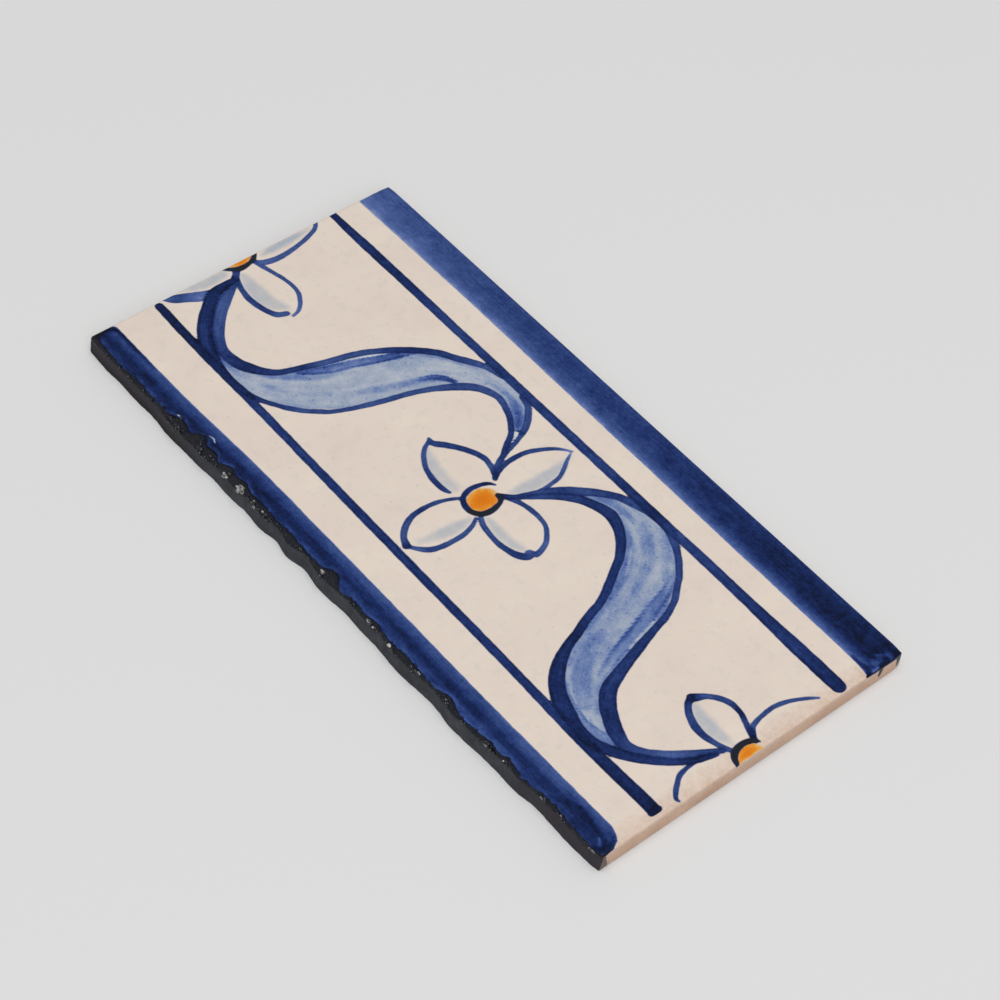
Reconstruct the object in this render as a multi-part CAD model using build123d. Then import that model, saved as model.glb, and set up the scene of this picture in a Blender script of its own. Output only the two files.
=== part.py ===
"""A glazed border tile, half of a square one, with one long side left as it was snapped.

The tile lies on its back. X runs along its length, from the far short side to the near one,
Y runs across it, from the snapped long side to the clean one, and Z is up, out of the glazed
face. The origin is at the middle of the underside.
"""
from build123d import *
import os

# The tile, in millimetres
LENGTH = 200.0            # short side to short side
WIDTH = 98.1              # clean long side to the furthest reach of the snapped one
THICKNESS = 5.7           # underside to glazed face
CORNER_ROUND = 0.9        # the upright corners, seen from above
GLAZE_ROUND = 0.7         # the arris where the glaze rolls over a pressed side
FOOT_ROUND = 0.5          # the arris between a pressed side and the underside

# The snapped side, read off the photograph. Each pair is a place along the tile, and how far the
# side stands in there from its furthest reach.
FOOT_LINE = (
    (-101, 0.6), (-96, 0.4), (-90, 0.3), (-84.5, 0.5), (-78, 0.4), (-72, 0.6), (-66.5, 0.15),
    (-61.5, 0.1), (-57, 0.3), (-50, 0.35), (-43, 0.8), (-40.5, 0.6), (-36, 0.8), (-30, 0.9),
    (-27, 0.6), (-24, 0.8), (-19.7, 1.4), (-16.5, 0.7), (-13.5, 0.7), (-9, 1.7), (-4.6, 1.0),
    (1, 0.9), (8, 1.4), (14, 1.2), (21, 1.2), (27, 0.7), (33, 0.8), (41, 1.4), (49, 0.7),
    (60, 1.3), (70, 1.3), (73, 1.4), (76, 1.9), (86, 2.0), (95, 2.1), (101, 2.8),
)
LIP_LINE = (
    (-101, 1.9), (-98.5, 1.7), (-95, 1.8), (-90, 1.5), (-86, 1.4), (-82, 1.8), (-78, 2.0),
    (-74, 1.7), (-68, 1.7), (-65.5, 2.0), (-63.5, 3.0), (-60, 3.0), (-57.4, 2.5), (-56, 3.9),
    (-54.8, 4.6), (-53, 4.2), (-51.4, 3.2), (-48, 3.5), (-45.2, 2.5), (-43.4, 3.5), (-41, 4.0),
    (-38.6, 3.3), (-36.6, 3.9), (-33.6, 3.2), (-28, 3.1), (-23, 2.8), (-17, 3.0), (-10, 2.8),
    (-4.6, 2.8), (-2.4, 3.4), (-1, 4.4), (0.6, 4.5), (2.2, 3.7), (4, 2.3), (5.8, 1.9),
    (8, 2.5), (14, 2.5), (18, 3.1), (21, 2.3), (27, 2.4), (33, 2.6), (42, 2.5), (45.6, 3.5),
    (49, 2.4), (57, 2.3), (61.6, 2.9), (64.4, 2.5), (67.4, 3.3), (70.6, 2.5), (77, 2.7),
    (84, 3.4), (89, 2.8), (95, 2.7), (101, 2.4),
)
FACE_LEAN = 0.6           # how far the snapped face leans in from its foot to its brow
BROW_DROP = 1.1           # the brow is this far below the glazed face
BREAK_SPARE = 6.0         # clay past the furthest reach, all of it snapped off

# The chip off the near corner of the snapped side
END_CHIP_WIDTH = 3.2
END_CHIP_DEPTH = 0.9

# The shallow keys in the back, which the bed grips
KEY_COUNT = 6
KEY_WIDTH = 6.0
KEY_PITCH = 13.0
KEY_DEPTH = 0.6
KEY_LENGTH = 176.0


def rounded_blank():
    """The pressed tile, before it was snapped: wider than the finished one, on one side only."""
    whole_width = WIDTH + BREAK_SPARE
    with BuildPart() as blank:
        with BuildSketch():
            with Locations((0, -BREAK_SPARE / 2)):
                Rectangle(LENGTH, whole_width)
        extrude(amount=THICKNESS)
        fillet(blank.edges().filter_by(Axis.Z), CORNER_ROUND)
        fillet(blank.faces().sort_by(Axis.Z)[-1].edges(), GLAZE_ROUND)
        fillet(blank.faces().sort_by(Axis.Z)[0].edges(), FOOT_ROUND)
    return blank.part


def broken_line(line, height):
    """The snapped side's line at one height, a little longer than the tile at both ends."""
    return Spline(*[(place, stand_in - WIDTH / 2, height) for place, stand_in in line])


def waste_section(stand_ins, height):
    """What was snapped off, cut through at one height."""
    line = broken_line(stand_ins, height)
    start, end = line @ 0, line @ 1
    outside = -WIDTH / 2 - 2 * BREAK_SPARE
    rest = Polyline(end, (end.X, outside, height), (start.X, outside, height), start)
    return make_face([line, rest])


def snapped_off():
    """The waste beyond the snapped side, whose inner face is the rough one left on the tile."""
    brow_line = [(place, stand_in + FACE_LEAN) for place, stand_in in FOOT_LINE]
    below = -THICKNESS
    above = 2 * THICKNESS
    brow = THICKNESS - BROW_DROP
    return loft(
        [
            waste_section(FOOT_LINE, below),
            waste_section(FOOT_LINE, 0),
            waste_section(brow_line, brow),
            waste_section(LIP_LINE, THICKNESS),
            waste_section(LIP_LINE, above),
        ],
        ruled=True,
    )


def chip(centre, width, depth):
    """A scoop that takes a bite of this width and depth out of the face."""
    radius = (width**2 / 4 + depth**2) / (2 * depth)
    return Pos(centre.X, centre.Y - radius + depth, THICKNESS) * Sphere(radius)


def key_grooves():
    """The row of shallow grooves in the back, beside one another across the tile."""
    grooves = []
    for index in range(KEY_COUNT):
        across = (index - (KEY_COUNT - 1) / 2) * KEY_PITCH
        groove = extrude(Rectangle(KEY_LENGTH, KEY_WIDTH), amount=KEY_DEPTH)
        grooves.append(Pos(0, across, 0) * groove)
    return grooves


tile = rounded_blank() - snapped_off()
near_end_of_lip = Vector(LENGTH / 2, LIP_LINE[-1][1] - WIDTH / 2, THICKNESS)
tile -= chip(near_end_of_lip, END_CHIP_WIDTH, END_CHIP_DEPTH)
for groove in key_grooves():
    tile -= groove

tile.label = "tile"
os.makedirs("parts", exist_ok=True)
export_step(tile, "parts/tile.step")
print("tile", tile.bounding_box(), "volume", round(tile.volume), "mm3")
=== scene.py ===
# %% [markdown]
# # A hand-painted border tile
# The real tile is one piece of fired clay. Its face wears a cream glaze, painted in cobalt blue
# before the last firing. Three of its sides were pressed, and the fourth long side was snapped.
# We load the tile's solid model first, because every piece here has to sit exactly where it is.

# %% The fixed frame
import math
import random

import bmesh
import bpy
import numpy as np
from mathutils import Matrix, Vector, noise
from mathutils.bvhtree import BVHTree


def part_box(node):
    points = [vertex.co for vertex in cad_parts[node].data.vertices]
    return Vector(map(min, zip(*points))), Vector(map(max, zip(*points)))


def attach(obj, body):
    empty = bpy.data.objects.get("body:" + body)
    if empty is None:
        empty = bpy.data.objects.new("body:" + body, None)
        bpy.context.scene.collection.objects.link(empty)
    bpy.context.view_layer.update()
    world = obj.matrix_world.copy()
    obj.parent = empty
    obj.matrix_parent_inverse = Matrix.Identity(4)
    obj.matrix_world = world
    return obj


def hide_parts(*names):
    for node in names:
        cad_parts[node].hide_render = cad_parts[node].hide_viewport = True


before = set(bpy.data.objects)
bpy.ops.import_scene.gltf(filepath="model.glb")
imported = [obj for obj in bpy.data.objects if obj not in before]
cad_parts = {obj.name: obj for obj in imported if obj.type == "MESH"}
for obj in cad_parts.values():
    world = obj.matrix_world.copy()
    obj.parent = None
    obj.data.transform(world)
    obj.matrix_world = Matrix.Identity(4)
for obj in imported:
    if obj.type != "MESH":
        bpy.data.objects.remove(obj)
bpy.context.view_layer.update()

print("pieces in the frame:", sorted(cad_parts))

# %% [markdown]
# ## Sizes
# Lengths in this file are millimetres, because that is how a tile is measured, and MM turns them
# into Blender's metres. The outer sizes are read from the solid model, and are never typed again.

# %% Sizes taken from the solid model
MM = 0.001
low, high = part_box("tile")
HALF_LENGTH = (high.x - low.x) / 2 / MM
CLEAN_Y = high.y / MM
TOP = high.z / MM
ROLL = 0.7                # radius at which the glaze rolls over a pressed side
FOOT = 0.5                # radius between a pressed side and the back
CELL = 0.5                # side of one square of the face's grid
print("tile", round(2 * HALF_LENGTH, 2), "x", round((high.y - low.y) / MM, 2), "x", round(TOP, 2), "mm")

# %% [markdown]
# ## The camera
# The camera was placed from the photograph's own lines: the tile's four edges and the two painted
# lines beside its bands. Lines that are parallel on the tile meet far away, at one point for its
# length and at one for its width, and those two points fix the lens and the direction of view.

# %% The camera
def in_scene(name, data):
    """An object that holds this data, at the origin, linked to the scene."""
    made = bpy.data.objects.new(name, data)
    bpy.context.scene.collection.objects.link(made)
    return made


CAMERA_MM = (317.8, -292.4, 506.4)
VIEW_FORWARD = (-0.47329, 0.44617, -0.75956)
VIEW_RIGHT = (0.63332, 0.77167, 0.05866)
LENS_MM = 96.1            # on a sensor 36 mm wide

camera = in_scene("camera", bpy.data.cameras.new("camera"))
forward = Vector(VIEW_FORWARD).normalized()
right = Vector(VIEW_RIGHT).normalized()
up = right.cross(forward)
turned = Matrix((right, up, -forward)).transposed().to_4x4()
camera.matrix_world = Matrix.Translation(Vector(CAMERA_MM) * MM) @ turned
camera.data.sensor_width = 36.0
camera.data.lens = LENS_MM
camera.data.clip_start = 0.01
bpy.context.scene.camera = camera
print("camera looks down by", round(math.degrees(math.asin(-forward.z)), 1), "degrees")

# %% [markdown]
# ## The snapped side
# The solid model already holds the line along which the tile broke, with its chips. Instead of
# typing that line again, we shoot rays at the solid from the side and read where they land.

# %% Reading the snapped side off the solid
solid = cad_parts["tile"].data
solid_tree = BVHTree.FromPolygons(
    [v.co.copy() for v in solid.vertices], [tuple(p.vertices) for p in solid.polygons]
)
SKIN = 0.02               # how far inside the solid's faces the rays pass


def snapped_y(x, z):
    """Where the snapped side is, in mm, at this place along the tile and this height."""
    z = max(SKIN, min(TOP - SKIN, z))
    for inward in (0.1, 0.5, 1.0, 1.5):
        reach = HALF_LENGTH - inward
        start = Vector((max(-reach, min(reach, x)), -80.0, z)) * MM
        hit = solid_tree.ray_cast(start, Vector((0, 1, 0)))[0]
        if hit is not None:
            return hit.y / MM
    raise ValueError("no ray found the snapped side")


stations = np.linspace(-HALF_LENGTH + ROLL, HALF_LENGTH - ROLL, 800)
lip_line = np.array([snapped_y(x, TOP) for x in stations])
print("the lip stands", round(lip_line.min(), 1), "to", round(lip_line.max(), 1), "mm from the middle")


def ragged(x, y, size, seed):
    """Uneven noise from about -1 to 1, with features of this size in mm."""
    return noise.noise(Vector((x / size, y / size, seed)))


def lip_y(x):
    """The broken edge of the glaze, with the fine nibbles that the solid leaves out."""
    fine = 0.30 * ragged(x, 0, 1.5, 3.0) + 0.16 * ragged(x, 0, 0.6, 7.0)
    return float(np.interp(x, stations, lip_line)) + fine


# %% [markdown]
# ## The glazed face
# The face is a fine grid, because the painting is stored on its corners: half a millimetre apart
# is finer than the brush. One row of its edge follows the broken lip, and the rest is spread evenly.

# %% The face as a grid
flat_x = HALF_LENGTH - ROLL
flat_y = CLEAN_Y - ROLL
LIP_INSET = 0.25          # the grid's last row lies this far inside the broken lip
LIP_DIMPLE = 0.35         # the melted glaze dips this far, at most, beside the broken lip
LIP_MARGIN = 1.4          # and no farther from the lip than this
columns = round(2 * flat_x / CELL)
rows = round((flat_y - lip_line.mean()) / CELL)

bm = bmesh.new()
bmesh.ops.create_grid(bm, x_segments=columns, y_segments=rows, size=1.0)
sheet = bm.verts.layers.float_vector.new("sheet")      # where a point is on the unrolled glaze
ring_of = bm.verts.layers.int.new("ring")              # 0 on the face, then one more per ring down
number = bm.verts.layers.int.new("number")
broken = bm.verts.layers.int.new("broken")             # 1 where the tile was snapped
for v in bm.verts:
    x = v.co.x * flat_x
    lip = lip_y(x) + LIP_INSET
    y = lip + (v.co.y + 1) / 2 * (flat_y - lip)
    dimple = LIP_DIMPLE * max(0.0, ragged(x, y, 1.3, 27.0)) * max(0.0, 1 - (y - lip) / LIP_MARGIN)
    v.co = Vector((x, y, TOP - dimple)) * MM
    v[sheet] = (x, y, 0)
print("face grid:", columns, "by", rows, "cells")

# %% [markdown]
# ## The sides
# The sides are drawn out of the face's edge, one ring at a time, as a potter pulls a wall. On the
# pressed sides each ring follows a quarter circle and then drops straight. On the snapped side it
# goes where the solid is, with the rough grain of broken clay added.

# %% One ring after another
turn_steps = [math.radians(a) for a in (15, 30, 45, 60, 75, 90)]
profile = [(ROLL * math.sin(a), ROLL * (1 - math.cos(a)), ROLL * a) for a in turn_steps]
for drop in (0.9, 1.15, 1.45, 1.9, 2.6, 3.5, 4.4, TOP - FOOT):
    profile.append((ROLL, drop, ROLL * math.pi / 2 + drop - ROLL))
profile.append((ROLL - 0.15, TOP - 0.15, profile[-1][2] + 0.4))
profile.append((ROLL - FOOT, TOP, profile[-1][2] + 0.4))
CORNER_REACH = 3.0        # the stretch beside a corner that moves with it
CORNER_SOFTNESS = 0.25    # 0 is a square corner, 1 is a full quarter circle


def broken_relief(x, down):
    """How far the broken clay stands out or in, in mm: long flakes, then crumbs near the lip."""
    flakes = 0.16 * ragged(x, 3.2 * down, 5.0, 1.0) + 0.10 * ragged(x, 2.0 * down, 1.9, 5.0)
    near_lip = max(0.0, 1 - abs(down - 0.9) / 0.9)
    crumbs = near_lip * (0.34 * ragged(x, 1.6 * down, 0.95, 9.0) + 0.14 * ragged(x, down, 0.4, 15.0))
    return (flakes + crumbs) * min(1.0, down / 0.5)


GLAZE_THICK = 0.36        # the broken glaze stands this thick on the clay
LIP_BULGE = 0.45          # and its melted edge swells out this far
LIP_FRONT = 0.12          # nothing below the lip stands farther in than this, from the grid's edge


def placed(base, out, down, reach):
    """Where a corner of the face's edge goes on a ring: (x, y, sheet x, sheet y)."""
    x, y = base
    near_end = max(0.0, 1 - (flat_x - abs(x)) / CORNER_REACH)
    on_short = abs(x) > flat_x - 1e-4
    lip = lip_y(x) + LIP_INSET
    on_snapped = y < lip + 1e-3
    new_x = x + math.copysign(out * near_end, x)
    sheet_x = x + math.copysign(reach * near_end, x)
    if on_snapped or (on_short and y < lip + CORNER_REACH):
        share = 1 - (y - lip) / CORNER_REACH
        if down < GLAZE_THICK:
            target = lip - LIP_FRONT - LIP_BULGE * math.sqrt(down * (2 * GLAZE_THICK - down))
        else:
            target = snapped_y(new_x, TOP - down) + broken_relief(x, down)
            target = min(target, lip - LIP_FRONT)
        return new_x, y + (target - lip) * share, sheet_x, y - reach * share
    near_clean = max(0.0, 1 - (flat_y - y) / CORNER_REACH)
    new_y = y + out * near_clean
    sheet_y = y + reach * near_clean
    if near_end > 0 and near_clean > 0:
        span = CORNER_REACH + out
        a = (abs(new_x) - (flat_x - CORNER_REACH)) / span
        b = (new_y - (flat_y - CORNER_REACH)) / span
        pull = 1 + CORNER_SOFTNESS * (max(a, b) / math.hypot(a, b) - 1)
        new_x = math.copysign(flat_x - CORNER_REACH + a * span * pull, x)
        new_y = flat_y - CORNER_REACH + b * span * pull
    return new_x, new_y, sheet_x, sheet_y


edge_ring = [e for e in bm.edges if e.is_boundary]
edge_verts = {v for e in edge_ring for v in e.verts}
bases = {}
for index, v in enumerate(edge_verts):
    v[number] = index
    bases[index] = (v.co.x / MM, v.co.y / MM)

for step, (out, down, reach) in enumerate(profile, start=1):
    made = bmesh.ops.extrude_edge_only(bm, edges=edge_ring)["geom"]
    edge_ring = [e for e in made if isinstance(e, bmesh.types.BMEdge) and e.is_boundary]
    for v in {v for e in edge_ring for v in e.verts}:
        x, y, sheet_x, sheet_y = placed(bases[v[number]], out, down, reach)
        v.co = Vector((x, y, TOP - down)) * MM
        v[sheet] = (sheet_x, sheet_y, down)
        v[ring_of] = step
        base_x, base_y = bases[v[number]]
        v[broken] = int(base_y < lip_y(base_x) + LIP_INSET + 0.01)
print(len(profile), "rings of", len(edge_ring), "edges down to the back")

# %% [markdown]
# ## The back
# The photograph never shows the back. Pressed wall tiles have shallow grooves there, so that the
# mortar can grip, and the solid model has them too. One face closes the back, knives cut it into
# strips, and every second strip is pushed in.

# %% The back and its grooves
KEY_COUNT, KEY_WIDTH, KEY_PITCH = 6, 6.0, 13.0
KEY_DEPTH, KEY_LENGTH = 0.6, 176.0
KEY_DRAFT = 0.15

bmesh.ops.edgeloop_fill(bm, edges=edge_ring)
key_middles = [(i - (KEY_COUNT - 1) / 2) * KEY_PITCH for i in range(KEY_COUNT)]
cuts = [((0, y + side * KEY_WIDTH / 2, 0), (0, 1, 0)) for y in key_middles for side in (-1, 1)]
cuts += [((side * KEY_LENGTH / 2, 0, 0), (1, 0, 0)) for side in (-1, 1)]


def back_faces():
    """The faces that lie on the underside."""
    return [f for f in bm.faces if all(abs(v.co.z) < 1e-7 for v in f.verts)]


for place, normal in cuts:
    faces = back_faces()
    edges = {e for f in faces for e in f.edges}
    verts = {v for f in faces for v in f.verts}
    bmesh.ops.bisect_plane(
        bm, geom=faces + list(edges) + list(verts), plane_co=Vector(place) * MM, plane_no=normal
    )
bmesh.ops.recalc_face_normals(bm, faces=bm.faces)
keys = []
for f in back_faces():
    middle = f.calc_center_median() / MM
    if abs(middle.x) < KEY_LENGTH / 2 and min(abs(middle.y - y) for y in key_middles) < KEY_WIDTH / 2:
        keys.append(f)
for f in keys:
    bmesh.ops.inset_individual(bm, faces=[f], thickness=KEY_DRAFT * MM, depth=-KEY_DEPTH * MM)
print(len(keys), "grooves pushed", KEY_DEPTH, "mm into the back")

# %% [markdown]
# ## From the grid to a mesh
# The finished form becomes a mesh once. From here on we only add information to its corners, and
# numpy does that for all of them at the same time, much faster than a loop over vertices would.

# %% The tile's mesh
GLAZE, CLAY, BREAK = 0, 1, 2
GLAZE_RINGS = 4           # rings of the snapped side that are still the broken glaze itself
for f in bm.faces:
    on_back = all(v.co.z < 1e-5 or v[ring_of] == 0 for v in f.verts)
    on_break = min(v[ring_of] for v in f.verts) >= GLAZE_RINGS and all(v[broken] for v in f.verts)
    flat_back = f.normal.z < -0.7 or (on_back and max(v.co.z for v in f.verts) < KEY_DEPTH * MM * 1.01)
    f.material_index = CLAY if flat_back else BREAK if on_break else GLAZE
    f.smooth = not flat_back


def mesh_object(name, finished_bm):
    """The object made of a finished bmesh, which is then let go."""
    made = bpy.data.meshes.new(name)
    finished_bm.to_mesh(made)
    finished_bm.free()
    return in_scene(name, made)


def read(items, name, width=1, kind=float):
    """What each item of a mesh holds under this name, as an array with one row for each."""
    values = np.zeros(len(items) * width, dtype=kind)
    items.foreach_get(name, values)
    return values.reshape(-1, width) if width > 1 else values


def write(name, values):
    """Stores one number, or three, for each corner of the mesh, for a material to read."""
    kind, field = ("FLOAT", "value") if values.ndim == 1 else ("FLOAT_VECTOR", "vector")
    layer = mesh.attributes.new(name, kind, "POINT")
    layer.data.foreach_set(field, values.astype(np.float32).ravel())


tile = mesh_object("painted_tile", bm)
mesh = tile.data
glaze_sheet = read(mesh.attributes["sheet"].data, "vector", 3)
PATTERN_MIDDLE = 48.7     # from the clean long edge to the middle line of the painting
px = glaze_sheet[:, 0]
py = glaze_sheet[:, 1] - (CLEAN_Y - PATTERN_MIDDLE)
below = glaze_sheet[:, 2]
print(len(mesh.vertices), "corners,", len(mesh.polygons), "faces")

# %% [markdown]
# ## How a brush stroke is stored
# A stroke is a smooth line through a few points, each with the brush's width there and how dense
# the cobalt lies. For every corner of the grid we work out three things: how far inside the stroke
# it is, how dense the colour is, and where it is along and across the stroke. The first gives a
# crisp edge at any zoom, and the last lets the bristle marks follow the brush.

# %% Brush strokes as distances
DRY = -3.0                # what a corner far from any stroke holds, in mm


def smooth_path(points, steps=9):
    """A smooth line through the points of a stroke, with all their numbers blended alike."""
    p = np.array(points, float)
    p = np.vstack([2 * p[0] - p[1], p, 2 * p[-1] - p[-2]])
    path = []
    for a, b, c, d in zip(p[:-3], p[1:-2], p[2:-1], p[3:]):
        for t in np.linspace(0, 1, steps, endpoint=False):
            path.append(
                0.5 * (2 * b + (c - a) * t + (2 * a - 5 * b + 4 * c - d) * t**2
                       + (3 * b - a - 3 * c + d) * t**3)
            )
    path.append(p[-2])
    return np.array(path)


def corners_near(path, margin):
    """Which corners of the grid lie in the box around a path, widened by a margin in mm."""
    first, last = path[:, :2].min(axis=0) - margin, path[:, :2].max(axis=0) + margin
    return np.flatnonzero((px > first[0]) & (px < last[0]) & (py > first[1]) & (py < last[1]))


def beside(x, y, a, b):
    """Points seen from the segment a to b: (its step, its length, share along it, dx, dy)."""
    step = b[:2] - a[:2]
    length = max(float(np.hypot(*step)), 1e-6)
    share = np.clip(((x - a[0]) * step[0] + (y - a[1]) * step[1]) / length**2, 0, 1)
    return step, length, share, x - a[0] - share * step[0], y - a[1] - share * step[1]


def stroke_field(points, margin=1.5):
    """(which corners it reaches, depth inside it, density, along, across) for one stroke."""
    path = smooth_path(points)
    who = corners_near(path, path[:, 2].max() / 2 + margin)
    x, y = px[who], py[who]
    depth = np.full(len(who), DRY)
    density, along, across = np.zeros(len(who)), np.zeros(len(who)), np.zeros(len(who))
    travelled = 0.0
    for a, b in zip(path[:-1], path[1:]):
        step, length, share, dx, dy = beside(x, y, a, b)
        half = (a[2] + share * (b[2] - a[2])) / 2
        inside = half - np.hypot(dx, dy)
        better = inside > depth
        side = (step[0] * dy - step[1] * dx) / length
        depth[better] = inside[better]
        density[better] = (a[3] + share * (b[3] - a[3]))[better]
        along[better] = travelled + (share * length)[better]
        across[better] = (side / np.maximum(half, 0.1))[better]
        travelled += length
    return who, depth, density, along, across


def ease(values, low, high):
    """0 below low, 1 above high, and a soft step between."""
    t = np.clip((values - low) / (high - low), 0, 1)
    return t * t * (3 - 2 * t)


class Coat:
    """One coat of colour on the tile: how deep inside it each corner is, and how dense it lies."""

    def __init__(self):
        self.depth = np.full(len(px), DRY)
        self.density = np.zeros(len(px))
        self.flow = np.zeros((len(px), 3))

    def brush(self, *strokes, wet_edge=0.10, fuller=0.0):
        """Lays strokes. Colour gathers at their edges, and gets a little denser where they cross."""
        for points in strokes:
            wide = [(x, y, width + fuller, dense) for x, y, width, dense in points]
            who, depth, density, along, across = stroke_field(wide)
            over = depth > self.depth[who]
            marked = who[over]
            self.flow[marked, 0] = along[over]
            self.flow[marked, 1] = across[over] * 2
            self.flow[marked, 2] = points[0][0] + 3 * points[0][1]
            self.depth[who] = np.maximum(self.depth[who], depth)
            pooled = density + wet_edge * (np.minimum(np.abs(across), 1.2) ** 3 - 0.4)
            laid = pooled * ease(depth, -0.7, 0.1)
            before = self.density[who]
            self.density[who] = np.maximum(before, laid) + 0.04 * np.minimum(before, laid)

    def wipe(self, *strokes):
        """Takes colour off along strokes, so that the ground shows through."""
        for points in strokes:
            who, depth, density, along, across = stroke_field(points)
            self.density[who] *= 1 - density * ease(depth, -0.3, 0.2)

    def glaze_over(self, *strokes, soft):
        """Adds density with soft strokes, and leaves the coat's edge where it is."""
        for points in strokes:
            who, depth, density, along, across = stroke_field(points)
            added = density * ease(depth, -0.3, soft)
            self.density[who] = 1 - (1 - self.density[who]) * (1 - added)


def inside_outline(points):
    """How far inside a closed outline each corner of the grid is, in mm."""
    outline = np.array(points, float)
    depth = np.full(len(px), DRY)
    near = corners_near(outline, -DRY)
    x, y = px[near], py[near]
    away = np.full(len(x), 9.0)
    odd = np.zeros(len(x), bool)
    for a, b in zip(outline, np.roll(outline, -1, axis=0)):
        step, length, share, dx, dy = beside(x, y, a, b)
        away = np.minimum(away, np.hypot(dx, dy))
        if a[1] != b[1]:
            crosses = ((a[1] > y) != (b[1] > y)) & (x < a[0] + (y - a[1]) * step[0] / step[1])
            odd ^= crosses
    depth[near] = np.where(odd, away, -away)
    return depth


ink, wash = Coat(), Coat()
print("brushes ready for", len(px), "corners")

# %% [markdown]
# ## The scroll
# A ribbon runs in waves between three flowers. It is a pale wash between two dark outlines, so we
# lay the wash as one very wide stroke and the outlines over it. Each row is x, y, width, density.

# %% The first ribbon
UNDER_OUTLINE = 0.6       # how far the wash runs under the middle of its outline, in mm
first_ribbon = [
    [(-97.2, -4.2, 1.6, 0.76), (-94.8, -6.7, 2.2, 0.8), (-92.5, -10, 3, 0.76), (-89.8, -13.5, 3.4, 0.7),
     (-87, -16.8, 3.4, 0.7), (-83.6, -19.9, 3.4, 0.74), (-80, -22.5, 3.4, 0.78), (-75.5, -24.1, 3, 0.82),
     (-70.5, -23.8, 3.4, 0.88), (-67, -22.3, 3.2, 0.9), (-63.7, -20, 2.4, 0.86), (-60.8, -16.5, 1.9, 0.85),
     (-58.7, -10.5, 1.9, 0.87), (-56.8, -5, 1.9, 0.72), (-55.3, 0.5, 2, 0.74), (-53.6, 5.1, 2, 0.77),
     (-50.9, 10, 2, 0.82), (-47.5, 14.9, 2.1, 0.92), (-42.6, 20, 2.1, 0.86), (-38.8, 22.4, 2.1, 0.84),
     (-35.1, 24.8, 2.1, 0.78), (-31.2, 27.1, 1.9, 0.72), (-26, 28.5, 1.8, 0.76)],
    [(-95, -6, 1.4, 0.88), (-94.7, -9.7, 2.4, 0.95), (-94, -13.6, 3.2, 0.94), (-91.2, -17.4, 3.5, 0.92),
     (-87.8, -20.9, 3.8, 0.91), (-84.1, -23.9, 3.8, 0.9), (-79.8, -26.2, 3.9, 0.9),
     (-74.5, -27.8, 3.2, 0.9), (-68, -28.4, 2.2, 0.9), (-61, -27.9, 1.6, 0.9), (-56.5, -26.6, 1.4, 0.88),
     (-52.4, -24.3, 1.4, 0.86), (-49.1, -22, 1.5, 0.78), (-46.3, -19.4, 1.5, 0.76),
     (-43.9, -16.5, 1.5, 0.76), (-42.4, -14.6, 1.4, 0.76), (-40.2, -9.8, 1.4, 0.77), (-38.5, -5, 1.6, 0.72),
     (-37, 0, 1.6, 0.76), (-35.7, 4.9, 1.7, 0.74), (-33.8, 10, 1.7, 0.74), (-31.1, 15.1, 2.3, 0.76),
     (-28.6, 18.8, 2.6, 0.76), (-25.7, 21.3, 2.3, 0.76), (-22, 22.7, 2, 0.75), (-19.4, 22.7, 1.8, 0.74),
     (-15, 21.3, 1.6, 0.84), (-11.9, 19.5, 1.5, 0.86), (-9.2, 17.2, 1.4, 0.86), (-7.2, 14.1, 1.4, 0.9),
     (-5.1, 11.2, 1.3, 0.86), (-3.5, 8.6, 1.7, 0.74), (-1.5, 6.3, 1.7, 0.84), (-0.2, 4.7, 1.2, 0.8)],
    [(-17.5, 28, 1.8, 0.8), (-14.4, 27.1, 1.7, 0.76), (-11.7, 25, 1.8, 0.76), (-9.6, 22.8, 1.8, 0.75),
     (-8.2, 20.5, 1.7, 0.74), (-7.4, 18.8, 1.3, 0.74), (-6.6, 16.8, 1.1, 0.78), (-5.9, 14.5, 1.2, 0.78),
     (-5.1, 12, 1.1, 0.8), (-4.2, 9.9, 1.2, 0.72)],
]
first_middle = [
    (-96, -6.5, 3, 0.75), (-93.4, -11.6, 5, 0.76), (-90, -16.4, 6, 0.76), (-85.8, -20.8, 6.6, 0.76),
    (-80.6, -24.4, 7.4, 0.78), (-76, -25.9, 7.4, 0.66), (-71, -25.9, 8, 0.5), (-64, -24.2, 11.5, 0.42),
    (-57.5, -18.6, 16, 0.39), (-51.8, -10.4, 18.5, 0.37), (-47.8, -2.4, 20, 0.38), (-44.8, 6, 20, 0.39),
    (-41, 13.4, 18, 0.4), (-35.6, 20, 14.5, 0.36), (-29.5, 24.2, 11, 0.36), (-22, 25.8, 8.4, 0.4),
    (-15.5, 24.6, 8, 0.54), (-10.5, 21, 6.6, 0.62), (-8.2, 17.4, 3.6, 0.1), (-4, 9.8, 2.4, 0.5),
]
wash.brush(first_middle, wet_edge=0.18)
wash.brush(
    [(-46.4, 15.4, 1.2, 0.86), (-48.2, 10.4, 1.8, 0.84), (-50.3, 5, 2.2, 0.74), (-52.5, 0, 2.6, 0.7),
     (-53.9, -4.6, 2.5, 0.7), (-56, -9.4, 1.8, 0.76), (-58.4, -13, 1.2, 0.74)],
    [(-31.8, 17.3, 0.8, 0.86), (-34.6, 15.8, 1.2, 0.84), (-36.6, 13.6, 1.2, 0.66), (-37.9, 10.4, 1, 0.5)],
    wet_edge=0.2,
)
wash.depth = np.minimum(wash.depth, UNDER_OUTLINE + inside_outline(
    [(-98, -3)] + [p[:2] for p in first_ribbon[0]] + [p[:2] for p in first_ribbon[2]]
    + [p[:2] for p in first_ribbon[1][::-1]]
))
ink.brush(*first_ribbon, wet_edge=0.12, fuller=0.15)
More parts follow.
